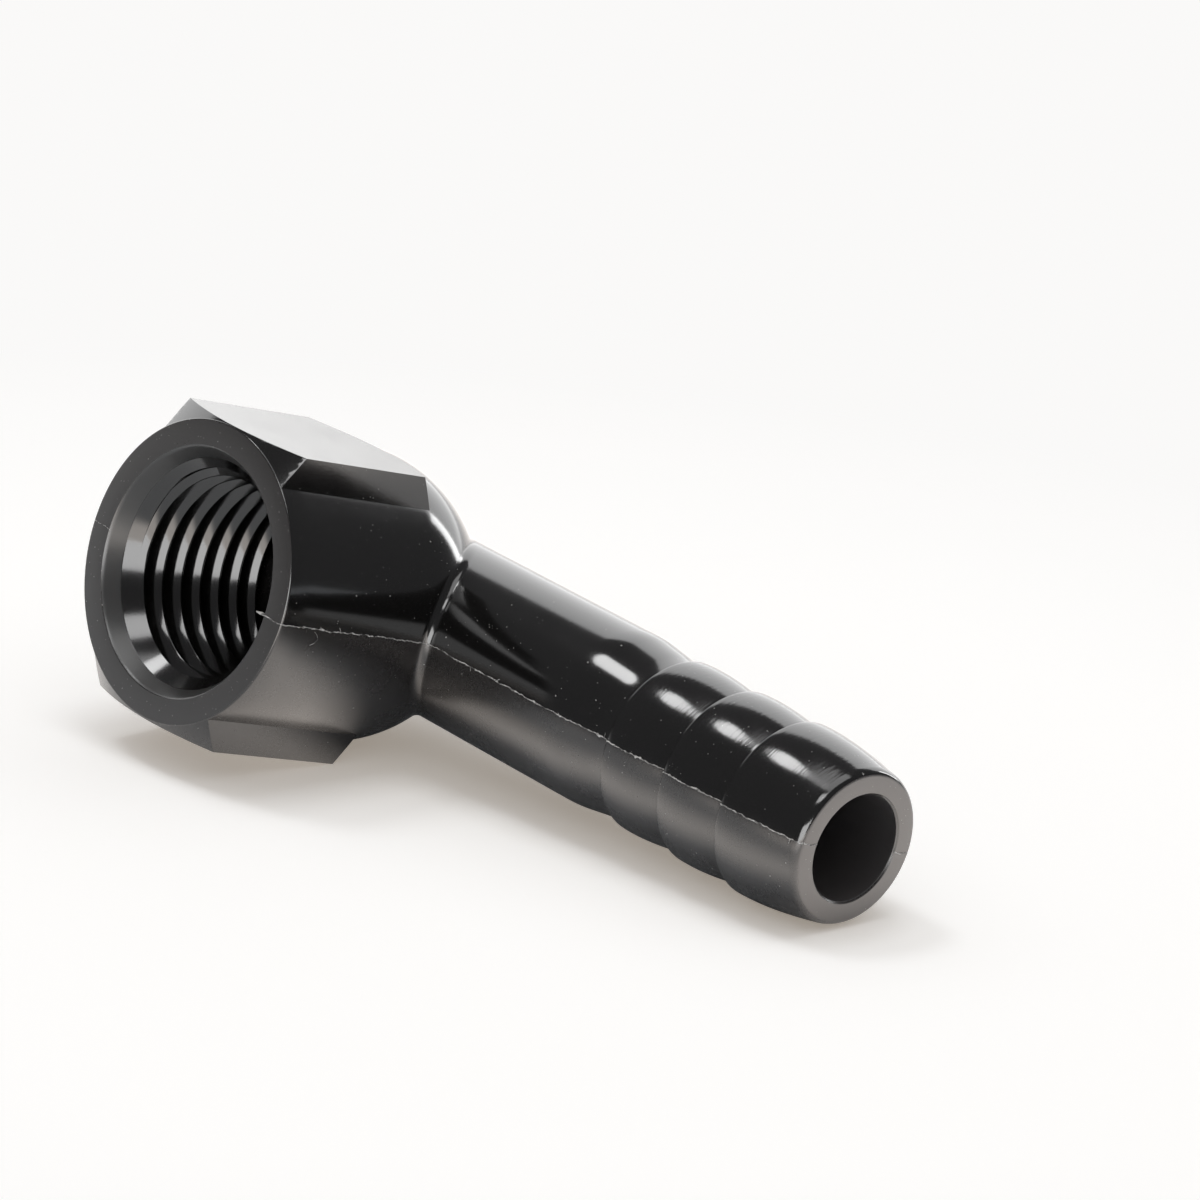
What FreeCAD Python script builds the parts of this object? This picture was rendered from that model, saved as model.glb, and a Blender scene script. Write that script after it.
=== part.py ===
import FreeCAD, Part
import math
import os

# Moulded elbow fitting: a threaded boss with two wrench flats, a domed back,
# and a barbed hose shank that leaves at a right angle.
# Everything is drawn round the point where the two port axes cross.
# The boss axis is Y with its mouth towards -Y, the shank axis is X,
# and the flats face up and down. At the end the part is laid down as it rests,
# on the shank, the back of the boss and the end of the lower flat.

V = FreeCAD.Vector
CROSSING = V(0, 0, 0)
X = V(1, 0, 0)
Y = V(0, 1, 0)
Z = V(0, 0, 1)

# Boss, in millimetres
MOUTH_REACH = 16.5          # crossing to the mouth face
BARREL_R = 8.7              # round sides of the boss and its domed back
FACE_BREAK = 0.1            # flat mouth face, short of the barrel by this much
FACE_R = BARREL_R - FACE_BREAK
FLAT_HALF = 8.73            # half the width across the wrench flats, 11/16 inch
PAD_HALF = 5.34             # half the width of each flat pad
NUT_ANGLE = 37.0            # slope of the turned ends of the pads, degrees
TURN_CROWN = 0.03           # how far those ends bulge over a straight cone
PAD_END = 4.95              # crossing to where the pads run out on the barrel
PAD_ROUND = 0.25            # rounding on the long edges of the pads
CLEAR_OF_PADS = 1.05        # turned envelope of the pads, as a share of their corners
DOME_LEAD = 0.2             # the dome starts this far before the shank

# Threaded port
MOUTH_R = 7.13              # edge of the lead-in at the mouth face
LEAD_R = 6.58               # where the lead-in turns into a cone
LEAD_DEPTH = 1.0            # mouth face to that turn
LEAD_ANGLE = 45.0           # half angle of the cone, degrees
THREAD_R = 5.68             # bore at the crests of the thread
THREAD_DEPTH = 11.0         # mouth face to the shoulder below the thread
PASSAGE_R = 4.2             # passage from the shoulder to the elbow
BACK_WALL = 1.9             # wall left behind the round end of the passage

# Hose shank
SHANK_LENGTH = 39.0         # crossing to the end face
PLAIN_R = 5.23              # plain part next to the boss
PLAIN_END = 19.6            # crossing to the end of the plain part
NECK_START = 22.2           # crossing to the start of the neck
NECK_R = 4.78               # neck between the plain part and the first barb
NECK_SWEEP = 0.06           # hollow of the sweep from the plain part to the neck
FIRST_CREST = 24.05         # crossing to the crest of the first barb
BARB_PITCH = 4.65
BARB_COUNT = 3
BARB_R = 5.07               # crest of each barb
BARB_STEP = 0.22            # length of the steep face behind each crest
TAPER_END_R = 4.68          # where a taper meets the next barb
TAPER_CROWN = 0.05          # how far each taper bulges over a straight cone
TIP_R = 4.6                 # outer radius where the last taper meets the end
TIP_ROUND = 0.26            # rounding on the rim of the end
BORE_R = 3.08               # bore through shank and elbow
BORE_BREAK = 0.12           # edge break at the bore's end
ROOT_FILLET = 0.55          # fillet where the shank leaves the boss

STEEPEST = 45.0             # no resting angle is looked for beyond this, degrees
HALVINGS = 40               # steps in the search for a resting angle

NEAR = 0.001                # places closer than this count as touching
ALMOST_LINE = 1e-6          # two directions that differ by less are the same
PAST_CROSSING = 0.05        # the shank's own side starts this far from the crossing
LEAST_EDGE = 0.5            # shorter edges are not part of the shank's root
HALF_TURN = math.sqrt(0.5)  # sine and cosine half way along a quarter circle


def turned(points, axis):
    """Solid of revolution from (along, radius) points and arcs about an axis."""
    def place(along, radius):
        if axis is X:
            return V(along, radius, 0)
        return V(radius, along, 0)

    edges = []
    last = place(*points[0])
    for step in points[1:]:
        if len(step) == 4:
            middle = place(step[0], step[1])
            end = place(step[2], step[3])
            edges.append(Part.Arc(last, middle, end).toShape())
        else:
            end = place(*step)
            edges.append(Part.makeLine(last, end))
        last = end
    edges.append(Part.makeLine(last, place(*points[0])))
    face = Part.Face(Part.Wire(edges))
    return face.revolve(CROSSING, axis, 360)


def dome_centre():
    """Where the ball-shaped back of the boss has its centre, along the boss."""
    return -(PLAIN_R + DOME_LEAD)


def barrel():
    """Round boss with a small chamfer at the mouth and a ball-shaped back."""
    dome_y = dome_centre()
    chamfer = (BARREL_R - FACE_R) * math.tan(math.radians(NUT_ANGLE))
    diagonal = BARREL_R * HALF_TURN
    return turned([
        (-MOUTH_REACH, 0),
        (-MOUTH_REACH, FACE_R),
        (-MOUTH_REACH + chamfer, BARREL_R),
        (dome_y, BARREL_R),
        (dome_y + diagonal, diagonal, dome_y + BARREL_R, 0),
    ], Y)


def wrench_pads():
    """Block across the boss whose two ends are turned like those of a nut."""
    slope = math.tan(math.radians(NUT_ANGLE))
    corner = CLEAR_OF_PADS * math.hypot(PAD_HALF, FLAT_HALF)
    front = -MOUTH_REACH + (corner - FACE_R) * slope
    rear = -PAD_END - (corner - BARREL_R) * slope
    envelope = turned([
        (-MOUTH_REACH, 0),
        (-MOUTH_REACH, FACE_R),
        ((front - MOUTH_REACH) / 2, (corner + FACE_R) / 2 + TURN_CROWN, front, corner),
        (rear, corner),
        ((rear - PAD_END) / 2, (corner + BARREL_R) / 2 + TURN_CROWN, -PAD_END, BARREL_R),
        (-PAD_END, 0),
    ], Y)
    length = MOUTH_REACH - PAD_END
    block = Part.makeBox(2 * PAD_HALF, length, 2 * FLAT_HALF, V(-PAD_HALF, -MOUTH_REACH, -FLAT_HALF))
    long_edges = [edge for edge in block.Edges if is_along(edge, Y)]
    block = block.makeFillet(PAD_ROUND, long_edges)
    return block.common(envelope)


def is_along(edge, axis):
    """True for a straight edge that runs along the axis."""
    start = edge.Vertexes[0].Point
    end = edge.Vertexes[-1].Point
    return (end - start).cross(axis).Length < ALMOST_LINE * edge.Length


def crests():
    """Distance from the crossing to each barb's crest."""
    return [FIRST_CREST + index * BARB_PITCH for index in range(BARB_COUNT)]


def barb(crest, end, end_r):
    """Profile of one barb: a steep face up to the crest, then a crowned taper."""
    half_x = (crest + end) / 2
    half_r = (BARB_R + end_r) / 2 + TAPER_CROWN
    return [(crest, BARB_R), (half_x, half_r, end, end_r)]


def shank():
    """Plain part, hollow sweep to the neck, and barbs, from the crossing."""
    diagonal = PLAIN_R * HALF_TURN
    sweep_x = (PLAIN_END + NECK_START) / 2
    sweep_r = (NECK_R + PLAIN_R) / 2 - NECK_SWEEP
    points = [
        (-PLAIN_R, 0),
        (-diagonal, diagonal, 0, PLAIN_R),
        (PLAIN_END, PLAIN_R),
        (sweep_x, sweep_r, NECK_START, NECK_R),
        (FIRST_CREST - BARB_STEP, NECK_R),
    ]
    for crest in crests()[:-1]:
        points += barb(crest, crest + BARB_PITCH - BARB_STEP, TAPER_END_R)
    points += barb(crests()[-1], SHANK_LENGTH - TIP_ROUND, TIP_R)
    corner = TIP_ROUND * (1 - HALF_TURN)
    points += [
        (SHANK_LENGTH - corner, TIP_R - corner, SHANK_LENGTH, TIP_R - TIP_ROUND),
        (SHANK_LENGTH, 0),
    ]
    return turned(points, X)


def port_hollow():
    """Port bored to the thread's crests, and the round-ended passage below it."""
    cone = (LEAD_R - THREAD_R) / math.tan(math.radians(LEAD_ANGLE))
    shoulder_y = -MOUTH_REACH + THREAD_DEPTH
    passage_end = PLAIN_R - BACK_WALL
    ball_y = passage_end - PASSAGE_R
    diagonal = PASSAGE_R * HALF_TURN
    return turned([
        (-MOUTH_REACH, 0),
        (-MOUTH_REACH, MOUTH_R),
        (-MOUTH_REACH + LEAD_DEPTH, LEAD_R),
        (-MOUTH_REACH + LEAD_DEPTH + cone, THREAD_R),
        (shoulder_y, THREAD_R),
        (shoulder_y, PASSAGE_R),
        (ball_y, PASSAGE_R),
        (ball_y + diagonal, diagonal, passage_end, 0),
    ], Y)


def shank_hollow():
    """Straight bore from the crossing to the end of the shank."""
    return turned([
        (0, 0),
        (0, BORE_R),
        (SHANK_LENGTH - BORE_BREAK, BORE_R),
        (SHANK_LENGTH, BORE_R + BORE_BREAK),
        (SHANK_LENGTH, 0),
    ], X)


def is_root_edge(edge):
    """True for the edges where the shank's side leaves the domed back, judged
    by a place near each end and one in the middle."""
    for share in (0.1, 0.5, 0.9):
        first = edge.FirstParameter
        point = edge.valueAt(first + share * (edge.LastParameter - first))
        off_shank = abs(math.hypot(point.y, point.z) - PLAIN_R)
        if off_shank > NEAR or not PAST_CROSSING < point.x < BARREL_R:
            return False
    return edge.Length > LEAST_EDGE


def elbow():
    """The whole fitting in line with its ports."""
    body = barrel().fuse(shank()).removeSplitter()
    root_edges = [edge for edge in body.Edges if is_root_edge(edge)]
    body = body.makeFillet(ROOT_FILLET, root_edges)
    body = body.fuse(wrench_pads()).removeSplitter()
    body = body.cut(port_hollow().fuse(shank_hollow())).removeSplitter()
    return body.Solids[0]


def down_at(tilt, roll):
    """Direction of down in the fitting's own axes, with the shank's end tilted
    down and the boss rolled about the shank so that its mouth points up."""
    level = math.cos(tilt)
    return V(math.sin(tilt), level * math.sin(roll), -level * math.cos(roll))


def shank_depth(down):
    """How far below the crossing the lowest circle of the shank reaches."""
    rings = [(crest, BARB_R, 0) for crest in crests()]
    rings.append((SHANK_LENGTH - TIP_ROUND, TIP_R - TIP_ROUND, TIP_ROUND))
    across = math.hypot(down.y, down.z)
    return max(along * down.x + radius * across + rim for along, radius, rim in rings)


def pad_depth(down):
    """The same for the rear corner of the lower flat, next to the shank."""
    pad_x = PAD_HALF - PAD_ROUND
    outside = math.hypot(pad_x, FLAT_HALF) - BARREL_R
    pad_y = -PAD_END - outside * math.tan(math.radians(NUT_ANGLE))
    centre = V(pad_x, pad_y, PAD_ROUND - FLAT_HALF)
    return centre.dot(down) + PAD_ROUND * math.hypot(down.x, down.z)


def dome_depth(down):
    """The same for the ball-shaped back of the boss."""
    return dome_centre() * down.y + BARREL_R


def closing_angle(gap):
    """Angle between level and the steepest at which a gap closes, in radians."""
    low = 0
    high = math.radians(STEEPEST)
    for _ in range(HALVINGS):
        middle = (low + high) / 2
        if gap(middle) > 0:
            low = middle
        else:
            high = middle
    return low


def tilt_at(roll):
    """Tilt at which the lower flat and the shank reach equally far down."""
    def gap(tilt):
        down = down_at(tilt, roll)
        return pad_depth(down) - shank_depth(down)

    return closing_angle(gap)


def resting_angles():
    """Tilt and roll at which flat, shank and back all touch the table."""
    def gap(roll):
        down = down_at(tilt_at(roll), roll)
        return pad_depth(down) - dome_depth(down)

    roll = closing_angle(gap)
    return tilt_at(roll), roll


def lay_down(shape):
    """Lay the fitting on its table, with the origin under its middle."""
    tilt, roll = resting_angles()
    laid = shape.copy()
    laid.rotate(CROSSING, X, -math.degrees(roll))
    laid.rotate(CROSSING, Y, math.degrees(tilt))
    box = laid.optimalBoundingBox(False, False)
    laid.translate(V(-box.Center.x, -box.Center.y, -box.ZMin))
    return laid


os.makedirs("parts", exist_ok=True)
fitting = lay_down(elbow())
fitting.exportStep("parts/hose_shank.step")
print("volume", round(fitting.Volume, 1), "valid", fitting.isValid())
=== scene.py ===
import math
import random

import bmesh
import bpy
from mathutils import Matrix, Vector


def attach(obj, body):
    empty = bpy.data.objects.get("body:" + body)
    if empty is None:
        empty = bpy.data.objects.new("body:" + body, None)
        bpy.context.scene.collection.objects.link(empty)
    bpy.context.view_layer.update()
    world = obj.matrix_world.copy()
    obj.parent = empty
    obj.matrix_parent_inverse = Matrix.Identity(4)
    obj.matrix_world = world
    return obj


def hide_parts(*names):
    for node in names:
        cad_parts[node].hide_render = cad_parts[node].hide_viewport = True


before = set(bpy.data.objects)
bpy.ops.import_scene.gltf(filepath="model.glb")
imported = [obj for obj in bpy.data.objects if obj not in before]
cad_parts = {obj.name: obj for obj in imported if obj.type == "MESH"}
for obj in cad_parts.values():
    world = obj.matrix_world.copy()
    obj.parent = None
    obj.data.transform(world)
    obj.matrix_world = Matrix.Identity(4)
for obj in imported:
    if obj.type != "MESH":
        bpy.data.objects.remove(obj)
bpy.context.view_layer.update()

# Boss
# The body is one piece of black plastic, moulded in two halves round two cores.
# It starts with the round boss, which has a ball-shaped back and a rounded rim
# at its mouth.

# It is drawn in millimetres in the fitting's own axes and laid down at the end:
# the crossing of its ports is the origin, the mouth faces -Y, the shank runs
# along +X and the mould halves part at z = 0.
BOSS_R = 8.7
MOUTH_Y = -16.5
DOME_Y = -5.43
RIM_ROUND = 0.12
RING_STEP = 1.5
ARC_STEP = math.radians(18)
DOME_STEPS = 40
BOSS_STEPS = 240
MERGE_WITHIN = 1e-4


def deselect():
    for other in bpy.context.selected_objects:
        other.select_set(False)


def start_point(name, at):
    """A new object in edit mode that holds one selected point."""
    deselect()
    bpy.ops.mesh.primitive_plane_add(size=1, location=(0, 0, 0))
    piece = bpy.context.object
    piece.name = name
    bpy.ops.object.mode_set(mode="EDIT")
    bpy.ops.mesh.merge(type="CENTER")
    bpy.ops.transform.translate(value=at)
    return piece


def draw_to(*points):
    """Extrudes the selected point through these places, one after another."""
    mesh = bmesh.from_edit_mesh(bpy.context.object.data)
    here = next(v.co.copy() for v in mesh.verts if v.select)
    for point in points:
        step = Vector(point) - here
        bpy.ops.mesh.extrude_region_move(TRANSFORM_OT_translate={"value": step})
        here = Vector(point)


def turned(name, points, axis, steps):
    """Closed solid turned about X or Y from (along, radius) points."""
    if axis == "X":
        places = [(along, radius, 0) for along, radius in points]
        line = (1, 0, 0)
    else:
        places = [(radius, along, 0) for along, radius in points]
        line = (0, 1, 0)
    piece = start_point(name, places[0])
    draw_to(*places[1:])
    bpy.ops.mesh.select_all(action="SELECT")
    bpy.ops.mesh.spin(steps=steps, angle=2 * math.pi, center=(0, 0, 0), axis=line)
    bpy.ops.mesh.select_all(action="SELECT")
    bpy.ops.mesh.remove_doubles(threshold=MERGE_WITHIN)
    bpy.ops.mesh.normals_make_consistent(inside=False)
    bpy.ops.object.mode_set(mode="OBJECT")
    return piece


def softened(points):
    """Line of (along, radius) points, with an arc at each point that gives a
    corner radius as its third number."""
    line = []
    for index, point in enumerate(points):
        here = Vector(point[:2])
        if len(point) == 2:
            line.append(tuple(here))
            continue
        before = (Vector(points[index - 1][:2]) - here).normalized()
        after = (Vector(points[index + 1][:2]) - here).normalized()
        half_angle = before.angle(after) / 2
        reach = point[2] / math.tan(half_angle)
        centre = here + (before + after).normalized() * point[2] / math.sin(half_angle)
        first = here + before * reach - centre
        last = here + after * reach - centre
        count = max(2, math.ceil(first.angle(last) / ARC_STEP))
        line += [tuple(centre + point[2] * first.slerp(last, stop / count).normalized())
                 for stop in range(count + 1)]
    return line


def straight(start, end):
    """Rings between two places on a straight run, the last one left out."""
    count = max(1, round(abs(end[0] - start[0]) / RING_STEP))
    return [tuple(Vector(start).lerp(Vector(end), index / count)) for index in range(count)]


def ball(centre, radius, start, end, count):
    """Points on an arc about a place on the axis, angles in degrees from +along."""
    line = []
    for index in range(count + 1):
        angle = math.radians(start + (end - start) * index / count)
        line.append((centre + radius * math.cos(angle), radius * math.sin(angle)))
    return line


rim = softened([(MOUTH_Y, 0), (MOUTH_Y, BOSS_R, RIM_ROUND), (DOME_Y, BOSS_R)])
barrel = rim[:-1] + straight(rim[-2], (DOME_Y, BOSS_R))[1:]
body = turned("moulded_body", barrel + ball(DOME_Y, BOSS_R, 90, 0, DOME_STEPS), "Y", BOSS_STEPS)

# Wrench flats
# Two flat pads across the boss for a spanner, moulded with it, with ends turned
# like those of a nut. They stand barely clear of the round sides.
PAD_HALF = 5.34
FLAT_HALF = 8.73
PAD_END = -4.95
PAD_SPARE = 1
PAD_ROUND = 0.25
PAD_ROUND_STEPS = 6
PAD_EDGE = 0.035
PAD_EDGE_STEPS = 3
EDGE_ANGLE = math.radians(24)
CLEAR_OF_BOSS = 0.02
NUT_SLOPE = math.tan(math.radians(37))
FACE_R = 8.6
CORNER_R = 10.74
TURN_CROWN = 0.03
TURN_POINTS = 8
PAD_SET_BACK = 0.015


def bowed(start, end, swell, count, lean=0.0):
    """Points after start up to end on a line that swells away from the axis,
    more in its first half the more it leans."""
    line = []
    for index in range(1, count + 1):
        share = index / count
        bulge = 4 * swell * share * (1 - share) * (1 + lean * (1 - 2 * share))
        line.append((start[0] + (end[0] - start[0]) * share,
                     start[1] + (end[1] - start[1]) * share + bulge))
    return line


def carve(piece, tool, operation):
    """Joins or cuts with a tool, which is used up."""
    deselect()
    bpy.context.view_layer.objects.active = piece
    cut = piece.modifiers.new("carve", "BOOLEAN")
    cut.operation = operation
    cut.solver = "EXACT"
    cut.object = tool
    bpy.ops.object.modifier_apply(modifier=cut.name)
    bpy.data.objects.remove(tool)


def open_mesh(piece):
    """Edit mode on one piece, with its whole mesh selected."""
    deselect()
    piece.select_set(True)
    bpy.context.view_layer.objects.active = piece
    bpy.ops.object.mode_set(mode="EDIT")
    bpy.ops.mesh.select_all(action="SELECT")


deselect()
bpy.ops.mesh.primitive_cube_add(size=1, location=(0, 0, 0))
pads = bpy.context.object
pads.name = "wrench_flats"
bpy.ops.object.mode_set(mode="EDIT")
bpy.ops.transform.resize(value=(2 * PAD_HALF, PAD_END - MOUTH_Y + PAD_SPARE, 2 * FLAT_HALF))
bpy.ops.transform.translate(value=(0, (MOUTH_Y + PAD_END) / 2, 0))
block = bmesh.from_edit_mesh(pads.data)
for edge in block.edges:
    run = edge.verts[0].co - edge.verts[1].co
    edge.select_set(abs(run.y) > abs(run.x) + abs(run.z))
block.select_flush_mode()
bmesh.update_edit_mesh(pads.data)
bpy.ops.mesh.bevel(offset=PAD_ROUND, segments=PAD_ROUND_STEPS, affect="EDGES")
bpy.ops.object.mode_set(mode="OBJECT")

turned_front = MOUTH_Y + (CORNER_R - FACE_R) * NUT_SLOPE
turned_rear = PAD_END - (CORNER_R - BOSS_R) * NUT_SLOPE
start_r = FACE_R + PAD_SET_BACK / NUT_SLOPE
turning = [(MOUTH_Y + PAD_SET_BACK, 0), (MOUTH_Y + PAD_SET_BACK, start_r)]
turning += bowed(turning[-1], (turned_front, CORNER_R), TURN_CROWN, TURN_POINTS)
turning.append((turned_rear, CORNER_R))
turning += bowed(turning[-1], (PAD_END, BOSS_R), TURN_CROWN, TURN_POINTS)
turning.append((PAD_END, 0))
carve(pads, turned("nut_turning", turning, "Y", BOSS_STEPS), "INTERSECT")

# Their edges are broken a little, but not where they run into the boss.
open_mesh(pads)
bpy.ops.mesh.remove_doubles(threshold=MERGE_WITHIN)
bpy.ops.mesh.select_all(action="DESELECT")
cut_block = bmesh.from_edit_mesh(pads.data)
for edge in cut_block.edges:
    if len(edge.link_faces) == 2 and edge.calc_face_angle() > EDGE_ANGLE:
        off_axis = min(math.hypot(v.co.x, v.co.z) for v in edge.verts)
        edge.select_set(off_axis > BOSS_R + CLEAR_OF_BOSS)
cut_block.select_flush_mode()
bmesh.update_edit_mesh(pads.data)
bpy.ops.mesh.bevel(offset=PAD_EDGE, segments=PAD_EDGE_STEPS, affect="EDGES", clamp_overlap=True)
bpy.ops.object.mode_set(mode="OBJECT")

# Hose shank
# A plain stem, a sweep down to a neck and three barbs that grip the hose. Each
# barb has a steep face towards the boss and a long swelling taper towards the
# end, with the thin rounding that a mould leaves on its crest.
SHANK_R = 5.23
SHANK_STEPS = 180
HEEL_POINTS = 30
PLAIN_END = 19.3
NECK_R = 4.78
SWEEP_POINTS = 24
EASE_IN = 0.3
EASE_OUT = 0.28
FIRST_CREST = 24.05
BARB_PITCH = 4.65
BARBS = 3
CREST_R = 5.12
BARB_STEP = 0.22
VALLEY_R = 4.68
TAPER_SWELL = 0.135
TAPER_LEAN = 0.2
TAPER_POINTS = 14
LAST_TAPER_POINTS = 16
CREST_ROUND = 0.11
VALLEY_ROUND = 0.07
END_X = 39.0
FACE_EDGE_R = 4.13
NOSE_LENGTH = 0.8
NOSE_HEIGHT = 0.42
NOSE_START = math.radians(15)
NOSE_POINTS = 12

stem = ball(0, SHANK_R, 180, 90, HEEL_POINTS)[:-1]
stem += straight((0, SHANK_R), (PLAIN_END, SHANK_R))
stem.append((PLAIN_END, SHANK_R))
neck_x = FIRST_CREST - BARB_STEP
for index in range(1, SWEEP_POINTS + 1):
    share = index / SWEEP_POINTS
    if share < EASE_IN:
        fall = share ** 2 / (2 * EASE_IN)
    elif share < 1 - EASE_OUT:
        fall = share - EASE_IN / 2
    else:
        fall = 1 - (EASE_IN + EASE_OUT) / 2 - (1 - share) ** 2 / (2 * EASE_OUT)
    fall /= 1 - (EASE_IN + EASE_OUT) / 2
    stem.append((PLAIN_END + (neck_x - PLAIN_END) * share, SHANK_R + (NECK_R - SHANK_R) * fall))
stem[-1] = (neck_x, NECK_R, VALLEY_ROUND)

nose = []
for index in range(NOSE_POINTS + 1):
    angle = NOSE_START + (math.pi / 2 - NOSE_START) * index / NOSE_POINTS
    nose.append((END_X - NOSE_LENGTH * (1 - math.sin(angle)),
                 FACE_EDGE_R + NOSE_HEIGHT * math.cos(angle)))
for barb in range(BARBS):
    crest = (FIRST_CREST + barb * BARB_PITCH, CREST_R)
    stem.append((*crest, CREST_ROUND))
    if barb < BARBS - 1:
        valley = (crest[0] + BARB_PITCH - BARB_STEP, VALLEY_R)
        taper = bowed(crest, valley, TAPER_SWELL, TAPER_POINTS, TAPER_LEAN)
        stem += taper[:-1] + [(*valley, VALLEY_ROUND)]
    else:
        stem += bowed(crest, nose[0], TAPER_SWELL, LAST_TAPER_POINTS, TAPER_LEAN) + nose[1:]
stem.append((END_X, 0))
outline = softened(stem)
carve(body, turned("shank", outline, "X", SHANK_STEPS), "UNION")

# Root fillet
# The fillet at the root of the shank is what a ball would leave that rolls
# round the corner between the shank and the back of the boss.
ROOT_FILLET = 0.55
FILLET_STEPS = 8
FILLET_OVERRUN = math.radians(3)
FILLET_DEPTH = 0.5
FRONT_STOPS = 150
BACK_STOPS = 100
shank_offset = SHANK_R + ROOT_FILLET
boss_offset = BOSS_R + ROOT_FILLET
turn_y = (boss_offset ** 2 - shank_offset ** 2 - DOME_Y ** 2) / (-2 * DOME_Y)
ring_r = math.sqrt(shank_offset ** 2 - turn_y ** 2)
sweep_end = math.acos(-turn_y / shank_offset)


def rolling_ball():
    """Centres of the ball all the way round, each with the direction in which
    it touches the shank."""
    stops = []
    for index in range(FRONT_STOPS):
        angle = -sweep_end + 2 * sweep_end * index / FRONT_STOPS
        y = -shank_offset * math.cos(angle)
        z = shank_offset * math.sin(angle)
        x = math.sqrt(max(boss_offset ** 2 - z ** 2 - max(y - DOME_Y, 0) ** 2, 0))
        stops.append((Vector((x, y, z)), Vector((0, -y, -z)).normalized()))
    for index in range(BACK_STOPS):
        angle = math.pi * index / BACK_STOPS
        centre = Vector((-ring_r * math.sin(angle), turn_y, ring_r * math.cos(angle)))
        stops.append((centre, -centre.normalized()))
    return stops


weld_mesh = bmesh.new()
loops = []
for centre, to_shank in rolling_ball():
    boss_axis = Vector((0, min(centre.y, DOME_Y), 0))
    to_boss = (boss_axis - centre).normalized()
    spread = to_shank.angle(to_boss)
    over = FILLET_OVERRUN / spread
    section = []
    for step in range(FILLET_STEPS + 1):
        share = -over + (1 + 2 * over) * step / FILLET_STEPS
        arm = (to_shank * math.sin((1 - share) * spread)
               + to_boss * math.sin(share * spread)) / math.sin(spread)
        section.append(centre + arm * ROOT_FILLET)
    depth = ROOT_FILLET / math.cos(spread / 2) + FILLET_DEPTH
    section.append(centre + (to_shank + to_boss).normalized() * depth)
    loops.append([weld_mesh.verts.new(corner) for corner in section])
for index, loop in enumerate(loops):
    follow = loops[(index + 1) % len(loops)]
    for first in range(len(loop)):
        second = (first + 1) % len(loop)
        weld_mesh.faces.new((loop[first], loop[second], follow[second], follow[first]))
bmesh.ops.recalc_face_normals(weld_mesh, faces=weld_mesh.faces)
weld = bpy.data.objects.new("root_fillet", bpy.data.meshes.new("root_fillet"))
weld_mesh.to_mesh(weld.data)
weld_mesh.free()
bpy.context.scene.collection.objects.link(weld)
carve(body, weld, "UNION")
carve(body, pads, "UNION")

# Port and bore
# The port's core leaves a rounded mouth edge, a smooth lead-in, a short cone,
# the thread's bore down to a shoulder, and a plain passage with a round end. A
# second core leaves the straight bore through the shank.
MOUTH_R = 7.13
MOUTH_EDGE = ((-0.01, 0.095), (0.03, 0.03), (0.09, -0.03), (0.18, -0.095))
MOUTH_FLARE = 0.35
PAST_MOUTH = 1
LEAD_R = 6.58
LEAD_DEPTH = 1.0
LEAD_ROUND = 0.09
THREAD_R = 5.68
THREAD_NARROWS = 0.285
PORT_DEPTH = 11.0
PASSAGE_R = 4.2
PASSAGE_END = 3.33
PASSAGE_POINTS = 16
BORE_R = 3.08
BORE_BREAK = 0.12
BORE_STEPS = 128
PAST_END = 0.3

cone_end = (MOUTH_Y + (LEAD_DEPTH + LEAD_R - THREAD_R), THREAD_R)
mouth = [(MOUTH_Y - PAST_MOUTH, 0), (MOUTH_Y - PAST_MOUTH, MOUTH_R + MOUTH_FLARE)]
mouth += [(MOUTH_Y + depth, MOUTH_R + wider) for depth, wider in MOUTH_EDGE]
mouth += softened([mouth[-1], (MOUTH_Y + LEAD_DEPTH, LEAD_R, LEAD_ROUND), cone_end])[1:-1]
mouth += [cone_end, (MOUTH_Y + PORT_DEPTH, THREAD_R - THREAD_NARROWS),
          (MOUTH_Y + PORT_DEPTH, PASSAGE_R), (PASSAGE_END - PASSAGE_R, PASSAGE_R)]
mouth += ball(PASSAGE_END - PASSAGE_R, PASSAGE_R, 90, 0, PASSAGE_POINTS)[1:]
carve(body, turned("port_core", mouth, "Y", BOSS_STEPS), "DIFFERENCE")

bore = [(0, 0), (0, BORE_R), (END_X - BORE_BREAK, BORE_R),
        (END_X + PAST_END, BORE_R + BORE_BREAK + PAST_END), (END_X + PAST_END, 0)]
carve(body, turned("shank_core", bore, "X", BORE_STEPS), "DIFFERENCE")

# Pipe thread
# A right-handed tapered pipe thread that the turning core leaves in the port.
# It fades in below the cone and ends at the shoulder.
PITCH = 1.4111
THREAD_HEIGHT = 1.10
CREST_FLAT = 0.10
CREST_SOFT = 0.02
CREST_DIPS = (0.002, 0.03)
FLANK_LINE = ((0.42, 0.40), (0.9, 0.88), (0.985, 0.93))
TAPER = 1 / 32
FADE_IN = 1.35
FADE_FULL = 1.75
FADE_SINK = 0.01
FIRST_EDGE = 2.03
TAP_START = 1.05
TURNS = 10
TURNS_ABOVE = 2.5
TURN_STEPS = 120
TAP_MERGE = 1e-3
TAP_CUT = 1e-5

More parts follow.
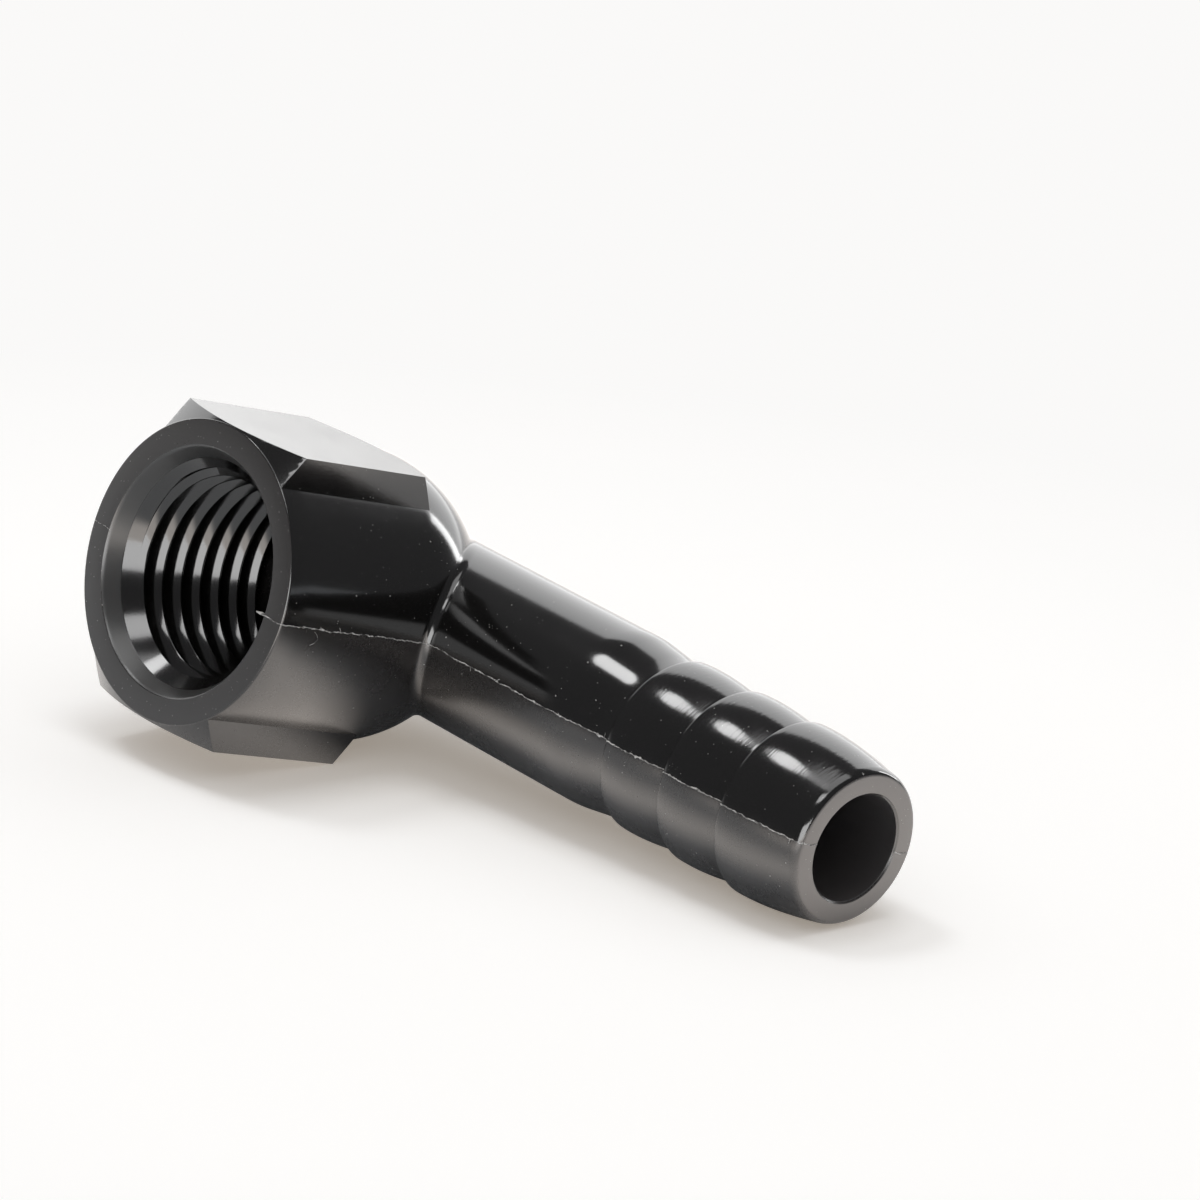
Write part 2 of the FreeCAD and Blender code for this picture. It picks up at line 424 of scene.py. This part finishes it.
half_crest = CREST_FLAT / 2
flank = (PITCH - CREST_FLAT) / 2
groove = [(0, 0), (half_crest - CREST_SOFT, CREST_DIPS[0]),
          (half_crest + CREST_SOFT, CREST_DIPS[1])]
groove += [(half_crest + down * flank, deep * THREAD_HEIGHT) for down, deep in FLANK_LINE]
groove += [(PITCH - along, deep) for along, deep in reversed(groove)]
tap = start_point("tap", (THREAD_R, 0, 0))
draw_to(*[(THREAD_R + deep, 0, along) for along, deep in groove[1:]])
bpy.ops.object.mode_set(mode="OBJECT")
sweep = tap.modifiers.new("sweep", "SCREW")
sweep.axis = "Z"
sweep.angle = 2 * math.pi
sweep.screw_offset = PITCH
sweep.iterations = TURNS
sweep.steps = TURN_STEPS
sweep.render_steps = TURN_STEPS
bpy.ops.object.modifier_apply(modifier=sweep.name)
# The crest's far edge passes the -X side at FIRST_EDGE below the mouth, and
# each turn to the right goes deeper.
begin = FIRST_EDGE - half_crest - TURNS_ABOVE * PITCH
tap.data.transform(Matrix.Translation((0, MOUTH_Y + begin, 0))
                   @ Matrix.Rotation(math.radians(-90), 4, "X"))
open_mesh(tap)
bpy.ops.mesh.remove_doubles(threshold=TAP_MERGE)
for depth, inner in ((TAP_START, True), (PORT_DEPTH, False)):
    bpy.ops.mesh.select_all(action="SELECT")
    bpy.ops.mesh.bisect(plane_co=(0, MOUTH_Y + depth, 0), plane_no=(0, 1, 0), use_fill=True,
                        threshold=TAP_CUT, clear_inner=inner, clear_outer=not inner)
bpy.ops.mesh.select_all(action="SELECT")
bpy.ops.mesh.normals_make_consistent(inside=False)
bpy.ops.object.mode_set(mode="OBJECT")
for vertex in tap.data.vertices:
    depth = vertex.co.y - MOUTH_Y
    radius = math.hypot(vertex.co.x, vertex.co.z)
    share = min(max((depth - FADE_IN) / (FADE_FULL - FADE_IN), 0), 1)
    narrowed = (THREAD_R - FADE_SINK + (radius - THREAD_R) * share
                - max(depth - FIRST_EDGE, 0) * TAPER)
    vertex.co.x *= narrowed / radius
    vertex.co.z *= narrowed / radius
carve(body, tap, "DIFFERENCE")

# Resting place
# The fitting lies on the table on its last barb, its domed back and a corner of
# the lower flat, so the shank tilts down and the mouth looks up a little.
TILT = math.radians(4.1009)
ROLL = math.radians(13.4308)
CROSSING = Vector((-0.0153007, 0.0064081, 0.0074589))
MILLIMETRE = 0.001
SLIVER = 2e-4
SMOOTH_BELOW = math.radians(26)

open_mesh(body)
bpy.ops.mesh.remove_doubles(threshold=SLIVER)
bpy.ops.mesh.dissolve_degenerate(threshold=SLIVER)
bpy.ops.object.mode_set(mode="OBJECT")
laid = (Matrix.Translation(CROSSING) @ Matrix.Rotation(TILT, 4, "Y")
        @ Matrix.Rotation(-ROLL, 4, "X") @ Matrix.Scale(MILLIMETRE, 4))
to_own = laid.inverted()
body.data.transform(laid)
bpy.ops.object.shade_smooth_by_angle(angle=SMOOTH_BELOW)
even = body.modifiers.new("even_shading", "WEIGHTED_NORMAL")
even.keep_sharp = True
bpy.ops.object.modifier_apply(modifier=even.name)

# Moulded skin
# The plastic is glossy where the upper half of the mould was polished, and
# greyer below the parting line, on the shank's end and on the faces that the
# cores left: partly a matt finish and partly painted light, coloured lighter for
# the light these parts catch, and in the bore painted light alone. Fine turning
# lines run round the barbs, and specks of dust lie on it.
GLOSSY_BLACK = (0.006, 0.0056, 0.0053, 1)
# Painted light: the matt black is lighter than the glossy black partly for the finish and partly
# to stand in for the light the lower half catches from the table below.
MATT_BLACK_AND_PAINTED_LIGHT = (0.029, 0.0247, 0.0232, 1)
# Painted light: the end face's grey is partly its matt finish and partly lightened for the light
# it catches from the table.
END_GREY_AND_PAINTED_LIGHT = (0.067, 0.060, 0.057, 1)
# Painted light: the lead-in's grey is partly its matt finish and partly lightened for the light
# that falls into the mouth.
LEAD_IN_GREY_AND_PAINTED_LIGHT = (0.04, 0.039, 0.038, 1)
# Painted light: the bore's grey stands in for the light that barely reaches into it.
PAINTED_BORE_LIGHT = (0.08, 0.074, 0.074, 1)
DUST_GREY = (0.42, 0.41, 0.39, 1)
PLASTIC_IOR = 1.5
PLASTIC_SPECULAR = 0.85
LOWER_MATT_AND_PAINTED_LIGHT = 0.6
MOUTH_MATT = 0.7
LEAD_IN_MATT = 0.8
BORE_MATT = 0.7
PARTING_BLUR = 0.03
END_BLUR = (0.05, 0.02)
MOUTH_BLUR = (0.03, 0.01)
LEAD_BLUR = (0.01, 0.03)
WALL_SLACK = 0.03
GLOSS = 0.06
MATT_ROUGHENS = 0.25
SMUDGE_ROUGHENS = 0.08
GRAIN_ROUGHENS = 0.04
DUST_ROUGHNESS = 0.8


def add(tree, kind, **settings):
    """A shader node of this kind with these settings."""
    node = tree.nodes.new("ShaderNode" + kind)
    for name, value in settings.items():
        setattr(node, name, value)
    return node


def feed(tree, node, **inputs):
    """Sets or links inputs, named with _ for a space or by number as in_0."""
    for name, value in inputs.items():
        key = int(name[3:]) if name.startswith("in_") else name.replace("_", " ")
        if isinstance(value, bpy.types.NodeSocket):
            tree.links.new(value, node.inputs[key])
        else:
            node.inputs[key].default_value = value
    return node


def maths(tree, operation, first, second=0.0, third=0.0):
    node = feed(tree, add(tree, "Math", operation=operation), in_0=first, in_1=second)
    if operation == "MULTIPLY_ADD":
        feed(tree, node, in_2=third)
    return node.outputs[0]


def ramp(tree, value, low, high, start=0.0, end=1.0):
    """Straight change from start at low to end at high."""
    node = add(tree, "MapRange")
    feed(tree, node, Value=value, From_Min=low, From_Max=high, To_Min=start, To_Max=end)
    return node.outputs["Result"]


def blend(tree, factor, first, second):
    node = add(tree, "Mix", data_type="RGBA")
    feed(tree, node, in_0=factor, in_6=first, in_7=second)
    return node.outputs[2]


def split(tree, vector):
    """The three numbers of a place or a colour."""
    return feed(tree, add(tree, "SeparateXYZ"), Vector=vector).outputs


def length(tree, first, second):
    """Distance from an axis, from the two numbers square to it."""
    squares = maths(tree, "MULTIPLY_ADD", first, first, maths(tree, "MULTIPLY", second, second))
    return maths(tree, "SQRT", squares)


def own_place(tree):
    """Place on the fitting in its own axes, in millimetres."""
    mapping = add(tree, "Mapping")
    feed(tree, mapping, Vector=add(tree, "TexCoord").outputs["Object"],
         Location=to_own.translation, Rotation=to_own.to_3x3().normalized().to_euler(),
         Scale=(1 / MILLIMETRE,) * 3)
    return mapping.outputs["Vector"]


black = bpy.data.materials.new("moulded_black")
black.use_nodes = True
plastic = black.node_tree.nodes["Principled BSDF"]
plastic.inputs["IOR"].default_value = PLASTIC_IOR
plastic.inputs["Specular IOR Level"].default_value = PLASTIC_SPECULAR
tree = black.node_tree
place = own_place(tree)
along, into, height = split(tree, place)

# Where each kind of skin is.
lower = ramp(tree, height, PARTING_BLUR, -PARTING_BLUR)
end_face = ramp(tree, along, END_X - END_BLUR[0], END_X - END_BLUR[1])
mouth_face = ramp(tree, into, MOUTH_Y + MOUTH_BLUR[0], MOUTH_Y + MOUTH_BLUR[1])
off_port = length(tree, along, height)
in_port = maths(tree, "MULTIPLY", maths(tree, "LESS_THAN", off_port, MOUTH_R + WALL_SLACK),
                maths(tree, "LESS_THAN", into, MOUTH_Y + PORT_DEPTH))
off_shank = length(tree, into, height)
in_bore = maths(tree, "MULTIPLY", maths(tree, "LESS_THAN", off_shank, BORE_R + WALL_SLACK),
                maths(tree, "GREATER_THAN", along, PASSAGE_R))
outside = maths(tree, "SUBTRACT", 1.0, maths(tree, "MAXIMUM", in_port, in_bore))
lead_in = maths(tree, "MULTIPLY", in_port,
                ramp(tree, off_port, LEAD_R - LEAD_BLUR[0], LEAD_R + LEAD_BLUR[1]))
# The matt mask makes the skin rougher and, as painted light, lighter in colour.
matt_and_painted_light = maths(tree, "MULTIPLY", maths(tree, "MULTIPLY", lower, outside), LOWER_MATT_AND_PAINTED_LIGHT)
matt_and_painted_light = maths(tree, "MAXIMUM", matt_and_painted_light, end_face)
for skin, weight in ((mouth_face, MOUTH_MATT), (lead_in, LEAD_IN_MATT), (in_bore, BORE_MATT)):
    matt_and_painted_light = maths(tree, "MAXIMUM", matt_and_painted_light, maths(tree, "MULTIPLY", skin, weight))

# Dust: small pale specks, thicker in scattered patches.
DUST_PATCHES = 0.22
PATCH_EDGES = (0.40, 0.62)
PATCH_SHARES = (0.15, 0.75)
SPECKS = ((1.9, 0.10, 1.0), (4.3, 0.12, 0.65))
patches = feed(tree, add(tree, "TexNoise"), Vector=place, Scale=DUST_PATCHES, Detail=2.0)
common = ramp(tree, patches.outputs["Fac"], *PATCH_EDGES, *PATCH_SHARES)
dust = 0.0
for per_mm, widest, often in SPECKS:
    cells = feed(tree, add(tree, "TexVoronoi"), Vector=place, Scale=per_mm)
    draw = split(tree, cells.outputs["Color"])
    speck = maths(tree, "LESS_THAN", cells.outputs["Distance"],
                  maths(tree, "MULTIPLY", draw[0], widest))
    chosen = maths(tree, "LESS_THAN", draw[1], maths(tree, "MULTIPLY", common, often))
    dust = maths(tree, "MAXIMUM", dust, maths(tree, "MULTIPLY", speck, chosen))
dust = maths(tree, "MULTIPLY", dust, outside)

# Base colour, with painted light in the matt black and the end, lead-in and bore greys.
shade = blend(tree, matt_and_painted_light, GLOSSY_BLACK, MATT_BLACK_AND_PAINTED_LIGHT)
for skin, grey in ((end_face, END_GREY_AND_PAINTED_LIGHT), (lead_in, LEAD_IN_GREY_AND_PAINTED_LIGHT), (in_bore, PAINTED_BORE_LIGHT),
                   (dust, DUST_GREY)):
    shade = blend(tree, skin, shade, grey)
feed(tree, plastic, Base_Color=shade)

SMUDGES = 0.35
GRAIN = 7.0
smudge = feed(tree, add(tree, "TexNoise"), Vector=place, Scale=SMUDGES, Detail=4.0,
              Roughness=0.6)
grain = feed(tree, add(tree, "TexNoise"), Vector=place, Scale=GRAIN, Detail=3.0, Roughness=0.6)
rough = maths(tree, "MULTIPLY_ADD", smudge.outputs["Fac"], SMUDGE_ROUGHENS, GLOSS)
rough = maths(tree, "ADD", rough, maths(tree, "MULTIPLY", matt_and_painted_light, MATT_ROUGHENS))
rough = maths(tree, "MULTIPLY_ADD", grain.outputs["Fac"], GRAIN_ROUGHENS, rough)
feed(tree, plastic, Roughness=maths(tree, "MAXIMUM", rough,
                                    maths(tree, "MULTIPLY", dust, DUST_ROUGHNESS)))

# The turning lines are noise drawn out round the shank.
LINES_ALONG = 6.0
LINES_AROUND = 3.0
LINES_BLUR = (0.2, 0.1)
LINE_HEIGHT = 2.0
GRAIN_HEIGHT = 0.35
DUST_HEIGHT = 6.0
RELIEF = 0.0000025
around = maths(tree, "ARCTAN2", height, into)
barbs_only = ramp(tree, along, FIRST_CREST - LINES_BLUR[0], FIRST_CREST + LINES_BLUR[1])
lines_at = feed(tree, add(tree, "CombineXYZ"), X=maths(tree, "MULTIPLY", along, LINES_ALONG),
                Y=maths(tree, "MULTIPLY", around, LINES_AROUND))
lines = feed(tree, add(tree, "TexNoise"), Vector=lines_at.outputs[0], Scale=1.0, Detail=3.0)
relief = maths(tree, "MULTIPLY", maths(tree, "MULTIPLY", lines.outputs["Fac"], barbs_only),
               LINE_HEIGHT)
relief = maths(tree, "MULTIPLY_ADD", grain.outputs["Fac"], GRAIN_HEIGHT, relief)
relief = maths(tree, "MULTIPLY_ADD", dust, DUST_HEIGHT, relief)
bump = feed(tree, add(tree, "Bump"), Height=relief, Strength=1.0, Distance=RELIEF)
feed(tree, plastic, Normal=bump.outputs["Normal"])

body.data.materials.clear()
body.data.materials.append(black)
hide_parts("hose_shank")
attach(body, "root")

# Parting-line flash
# The mould halves leave a thin ragged fin all the way round where they part,
# pale in patches, partly its own whitened burrs and partly a painted sheen where
# the fin catches the light, with a torn tab at the edge of the mouth.
FLASH_R = 0.042
FLASH_STEP = 0.11
FLASH_BURY = 0.018
DRIFT_KEPT = 0.6
DRIFT = 0.035
RAGGED_KEPT = 0.45
RAGGED_START = 0.7
RAGGED = (0.1, 1.25)
TUFT_SHARE = 0.07
TUFT_SWELL = (1.3, 2.3)
SHORT_OF_PORT = 0.05
SHORT_OF_BORE = 0.1
PAST_ROOT = 4.0
HEEL_ARC = 16
DOME_ARC = 24
random.seed(41)


def arc(centre, radius, start, end, count=8):
    """Points on an arc in the parting plane, angles in degrees from +X."""
    return [(centre[0] + radius * math.cos(math.radians(start + (end - start) * k / count)),
             centre[1] + radius * math.sin(math.radians(start + (end - start) * k / count)))
            for k in range(count + 1)]


shank_line = [(x, r) for x, r in outline if x > SHANK_R + PAST_ROOT and r > BORE_R]
root_x = BOSS_R + ROOT_FILLET
front_line = [(MOUTH_R + SHORT_OF_PORT, MOUTH_Y), (BOSS_R - RIM_ROUND, MOUTH_Y)]
front_line += arc((BOSS_R - RIM_ROUND, MOUTH_Y + RIM_ROUND), RIM_ROUND, -90, 0)
front_line += arc((root_x, -SHANK_R - ROOT_FILLET), ROOT_FILLET, 180, 90)
front_line += [(x, -r) for x, r in shank_line]
front_line.append((END_X, -BORE_R - SHORT_OF_BORE))
root_angle = math.degrees(math.atan2(turn_y, -ring_r))
dome_angle = math.degrees(math.atan2(turn_y - DOME_Y, -ring_r))
back_line = [(END_X, BORE_R + SHORT_OF_BORE)] + shank_line[::-1]
back_line += arc((0, 0), SHANK_R, 90, root_angle, HEEL_ARC)
back_line += arc((0, DOME_Y), BOSS_R, dome_angle, 180, DOME_ARC)
back_line += arc((-BOSS_R + RIM_ROUND, MOUTH_Y + RIM_ROUND), RIM_ROUND, 180, 270)
back_line.append((-MOUTH_R - SHORT_OF_PORT, MOUTH_Y))


def walk(points, step):
    """Places at even steps along a line of points."""
    places = []
    for first, last in zip(points, points[1:]):
        run = Vector(last) - Vector(first)
        count = max(1, round(run.length / step))
        places += [Vector(first) + run * index / count for index in range(count)]
    return places + [Vector(points[-1])]


def ragged_wire(name, runs, thickness):
    """Round wire through runs of ((x, y, z), share of its thickness) points."""
    deselect()
    line = bpy.data.curves.new(name, "CURVE")
    line.dimensions = "3D"
    line.bevel_depth = thickness
    line.bevel_resolution = 1
    line.use_fill_caps = True
    for run in runs:
        spline = line.splines.new("POLY")
        spline.points.add(len(run) - 1)
        for point, (at, share) in zip(spline.points, run):
            point.co = (*at, 1)
            point.radius = share
    piece = bpy.data.objects.new(name, line)
    bpy.context.scene.collection.objects.link(piece)
    piece.select_set(True)
    bpy.context.view_layer.objects.active = piece
    bpy.ops.object.convert(target="MESH")
    return bpy.context.object


runs = []
for line, bury in ((front_line, 0), (back_line, FLASH_BURY)):
    run = []
    drift = 0
    ragged = RAGGED_START
    for at in walk(line, FLASH_STEP):
        drift = DRIFT_KEPT * drift + random.uniform(-DRIFT, DRIFT)
        ragged = RAGGED_KEPT * ragged + (1 - RAGGED_KEPT) * random.uniform(*RAGGED)
        tuft = random.uniform(*TUFT_SWELL) if random.random() < TUFT_SHARE else 1
        inward = Vector((0, -1)) if at.x > root_x else -at.normalized()
        at = at + inward * bury
        run.append(((at.x, at.y, drift), ragged * tuft))
    runs.append(run)
flash = ragged_wire("parting_flash", runs, FLASH_R)

# Short curls of torn flash stand off the line here and there, each from a place
# (x, y) and of a length, and one longer hair hangs beside the mouth.
TUFTS = ((8.72, -13.2, 0.55), (8.72, -11.9, 0.5), (12.6, -5.25, 0.3), (14.9, -5.25, 0.35),
         (20.2, -5.2, 0.3), (23.5, -4.8, 0.4), (25.6, -5.0, 0.3), (31.0, -4.9, 0.25),
         (35.5, -4.85, 0.3), (38.2, -4.6, 0.4))
HAIR = [((8.73, -13.9, -0.15), 0.6), ((8.76, -13.7, -0.30), 0.8), ((8.77, -13.55, -0.55), 0.8),
        ((8.74, -13.7, -0.80), 0.7), ((8.70, -13.95, -0.95), 0.5)]
CURL_R = 0.022
CURL_STEPS = 5
CURL_THINS = 0.15
CURL_HEADING = 2.6
CURL_TURN = 0.7
curls = []
for x, y, length_out in TUFTS:
    at = Vector((x, y, 0))
    heading = random.uniform(-CURL_HEADING, CURL_HEADING)
    run = []
    for step in range(CURL_STEPS):
        run.append((tuple(at), 1 - CURL_THINS * step))
        heading += random.uniform(-CURL_TURN, CURL_TURN)
        across = math.cos(heading)
        lean = (0, across, math.sin(heading)) if x < root_x else (across, 0, math.sin(heading))
        at = at + Vector(lean) * length_out / CURL_STEPS
    curls.append(run)
curls.append(HAIR)
flash_curls = ragged_wire("flash_curls", curls, CURL_R)

# The tab is a thin five-cornered sheet in the parting plane.
TAB_CORNERS = ((7.22, -16.52, 0), (7.10, -16.05, 0), (6.74, -16.30, 0.05),
               (6.60, -16.62, 0.03), (6.92, -16.56, -0.02))
TAB_THICKNESS = 0.05
deselect()
bpy.ops.mesh.primitive_circle_add(vertices=len(TAB_CORNERS), fill_type="NGON",
                                  location=(0, 0, 0))
tab = bpy.context.object
tab.name = "flash_tab"
for vertex, at in zip(tab.data.vertices, TAB_CORNERS):
    vertex.co = at
sheet = tab.modifiers.new("thickness", "SOLIDIFY")
sheet.thickness = TAB_THICKNESS
sheet.offset = 0
bpy.ops.object.modifier_apply(modifier=sheet.name)

# Painted light: the pale patches are partly whitened burrs and partly a painted sheen along the
# fin.
FLASH_BLACK = (0.07, 0.068, 0.065, 1)
FLASH_PALE = (0.75, 0.73, 0.70, 1)
PALE_PATCH_SCALE = 2.2
PALE_PATCH_EDGES = (0.40, 0.56)
PALE_PATCH_ROUGHNESS = (0.3, 0.7, 0.35, 0.6)
flash_pale_and_sheen = bpy.data.materials.new("flash_pale_and_painted_sheen")
flash_pale_and_sheen.use_nodes = True
tree = flash_pale_and_sheen.node_tree
thin = tree.nodes["Principled BSDF"]
pale_patches = feed(tree, add(tree, "TexNoise"), Vector=own_place(tree), Scale=PALE_PATCH_SCALE, Detail=4.0,
            Roughness=0.7).outputs["Fac"]
feed(tree, thin, Roughness=ramp(tree, pale_patches, *PALE_PATCH_ROUGHNESS),
     Base_Color=blend(tree, ramp(tree, pale_patches, *PALE_PATCH_EDGES), FLASH_BLACK, FLASH_PALE))
for piece in (flash, flash_curls, tab):
    piece.data.transform(laid)
    piece.data.materials.clear()
    piece.data.materials.append(flash_pale_and_sheen)
    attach(piece, "root")

# Floor
# A plain pale sheet that the fitting lies on. The camera sees it over-exposed,
# so that it fades into the white that also makes the background.
FLOOR_SIZE = 6
BACKDROP = (0.955, 0.948, 0.94, 1)
PAPER = (0.915, 0.945, 0.975, 1)
PAPER_GLARE = (0.30, 0.265, 0.225, 1)
BLACK = (0, 0, 0, 1)
FADE_OUT = (0.05, 0.10)
deselect()
bpy.ops.mesh.primitive_plane_add(size=FLOOR_SIZE, location=(0, 0, 0))
floor = bpy.context.object
floor.name = "floor"
paper = bpy.data.materials.new("pale_floor")
paper.use_nodes = True
tree = paper.node_tree
surface = feed(tree, tree.nodes["Principled BSDF"], Roughness=1.0, Specular_IOR_Level=0.0,
               Emission_Strength=1.0)
rays = add(tree, "LightPath")
to_camera = rays.outputs["Is Camera Ray"]
spot = add(tree, "TexCoord").outputs["Object"]
x, y, _ = split(tree, spot)
off_middle = feed(tree, add(tree, "VectorMath", operation="LENGTH"), in_0=spot).outputs["Value"]
far = maths(tree, "MULTIPLY", to_camera, ramp(tree, off_middle, *FADE_OUT))
feed(tree, surface, Base_Color=blend(tree, far, PAPER, BLACK))
glare = blend(tree, to_camera, BLACK, PAPER_GLARE)

# Painted light: the sheet also glows, seen only in the plastic's gloss, to stand
# in for how brightly its parts are lit: most close in front and to the right of
# there, then beyond the shank's end and far behind. Each glow is set against white.
WARM_WHITE = (1.0, 0.91, 0.83)
FRONT_FROM = (0.001, -0.003)
FRONT_GLOW = (-0.002, -0.015, 1.65, 0.15)
RIGHT_WAY = (0.545, -0.84)
RIGHT_NARROWS = -0.5
RIGHT_GLOW = (0.014, 0.025, 0.0, 2.8)
END_GLOW = (0.022, 0.027, 0.0, 2.0)
END_FADES = (0.05, 0.09, 1.0, 0.0)
BEHIND_GLOW = (0.02, 0.04, 0.9, 0.0)
BEHIND_RISES = (0.02, 0.05)
by_end = maths(tree, "MULTIPLY", ramp(tree, x, *END_GLOW), ramp(tree, off_middle, *END_FADES))
far_behind = maths(tree, "MULTIPLY", ramp(tree, x, *BEHIND_GLOW),
                   ramp(tree, off_middle, *BEHIND_RISES))
rightward = maths(tree, "MULTIPLY_ADD", y, RIGHT_WAY[1], maths(tree, "MULTIPLY", x, RIGHT_WAY[0]))
rightward = maths(tree, "MULTIPLY_ADD", off_middle, RIGHT_NARROWS, rightward)
in_front = maths(tree, "ADD", ramp(tree, y, *FRONT_GLOW), ramp(tree, rightward, *RIGHT_GLOW))
painted_glow_in_gloss = blend(tree, ramp(tree, y, *FRONT_FROM), maths(tree, "MAXIMUM", by_end, far_behind),
                 in_front)
painted_glow_in_gloss = feed(tree, add(tree, "VectorMath", operation="SCALE"), in_0=WARM_WHITE,
                Scale=painted_glow_in_gloss).outputs[0]
# Painted light: glossy rays see the painted floor glow.
glare = blend(tree, rays.outputs["Is Glossy Ray"], glare, painted_glow_in_gloss)
feed(tree, surface, Emission_Color=blend(tree, far, glare, BACKDROP))
floor.data.materials.append(paper)

# Studio light
# A dim room that is brighter low down on the left and behind, and lamps at the
# places where the plastic shows them. Most take part in the gloss alone: the
# light itself comes from over the table, an even fill and one small lamp.
ROOM_DIM = (0.16, 0.16, 0.165, 1)
ROOM_BRIGHT = (1.5, 1.49, 1.48, 1)
BRIGHT_RISE = (0.03, 0.16, 1.0, 0.0)
LEFT_WAY = (-0.97, -0.22)
LEFT_EDGE = (0.84, 0.90)
BEHIND_WAY = (-0.74, 0.67)
BEHIND_EDGE = (0.66, 0.78)
world = bpy.data.worlds.new("studio")
bpy.context.scene.world = world
world.use_nodes = True
tree = world.node_tree
x, y, z = split(tree, add(tree, "TexCoord").outputs["Generated"])
left = maths(tree, "MULTIPLY_ADD", x, LEFT_WAY[0], maths(tree, "MULTIPLY", y, LEFT_WAY[1]))
behind = maths(tree, "MULTIPLY_ADD", y, BEHIND_WAY[1], maths(tree, "MULTIPLY", x, BEHIND_WAY[0]))
bright = maths(tree, "MULTIPLY", ramp(tree, z, *BRIGHT_RISE),
               maths(tree, "MAXIMUM", ramp(tree, left, *LEFT_EDGE),
                     ramp(tree, behind, *BEHIND_EDGE)))
room = blend(tree, bright, ROOM_DIM, ROOM_BRIGHT)
to_camera = add(tree, "LightPath").outputs["Is Camera Ray"]
feed(tree, tree.nodes["Background"], Color=blend(tree, to_camera, room, BACKDROP))


def soft_box(name, azimuth, elevation, distance, width, height, glow, shape="RECTANGLE",
             upright=False, part="both"):
    """Area lamp in that direction from the fitting, turned to face it. Its glow
    is its brightness against white. It takes part in both the light and the
    shine, or in one."""
    level = math.cos(math.radians(elevation))
    toward = Vector((level * math.cos(math.radians(azimuth)),
                     level * math.sin(math.radians(azimuth)),
                     math.sin(math.radians(elevation))))
    lamp = bpy.data.objects.new(name, bpy.data.lights.new(name, "AREA"))
    lamp.data.shape = shape
    lamp.data.size = width
    lamp.data.size_y = height
    lamp.data.energy = glow * math.pi * width * height
    lamp.location = toward * distance
    if upright:
        toward.z = 0
    lamp.rotation_euler = toward.to_track_quat("Z", "Y").to_euler()
    lamp.visible_camera = False
    lamp.visible_diffuse = part != "shine"
    lamp.visible_glossy = part != "light"
    bpy.context.scene.collection.objects.link(lamp)


soft_box("screen", 138, 29.5, 1.379, 2.9, 1.16, 2.0, upright=True, part="shine")
soft_box("side_strip", 87, 17, 1.2, 0.14, 0.5, 8.0, part="shine")
soft_box("front_panel", -57, 10.5, 1.2, 1.0, 0.5, 5.5, part="shine")
soft_box("upper_front", -72, 63, 1.2, 0.5, 0.3, 5.0, part="shine")
soft_box("ceiling", 90, 87, 1.2, 0.75, 0.75, 1.8, part="shine")
soft_box("over_table", 90, 87, 1.2, 0.55, 0.55, 4.6, part="light")
soft_box("fill", 90, 89, 1.3, 4, 4, 0.42, part="light")
soft_box("key", -162, 65, 1.0, 0.27, 0.21, 7.0, shape="ELLIPSE")

# Camera
# It stands low over the table in front, to the right of the mouth, with a long
# lens. Its place and its two directions are in the fitting's own axes.
SENSOR = 36
LENS = 159.87
STAND = Vector((217.082, -215.397, 57.58))
TO_RIGHT = Vector((0.6559, 0.6885, 0.3094))
TO_FITTING = Vector((-0.6729, 0.7191, -0.1734))
lens = bpy.data.cameras.new("camera")
camera = bpy.data.objects.new("camera", lens)
bpy.context.scene.collection.objects.link(camera)
lens.sensor_width = SENSOR
lens.sensor_fit = "HORIZONTAL"
lens.lens = LENS
right = TO_RIGHT.normalized()
ahead = (TO_FITTING - right * TO_FITTING.dot(right)).normalized()
up = ahead.cross(right) * -1
aim = Matrix((right, up, -ahead)).transposed().to_4x4()
camera.matrix_world = laid @ Matrix.Translation(STAND) @ aim @ Matrix.Scale(1 / MILLIMETRE, 4)
bpy.context.scene.camera = camera

bpy.context.scene.view_settings.view_transform = "Standard"
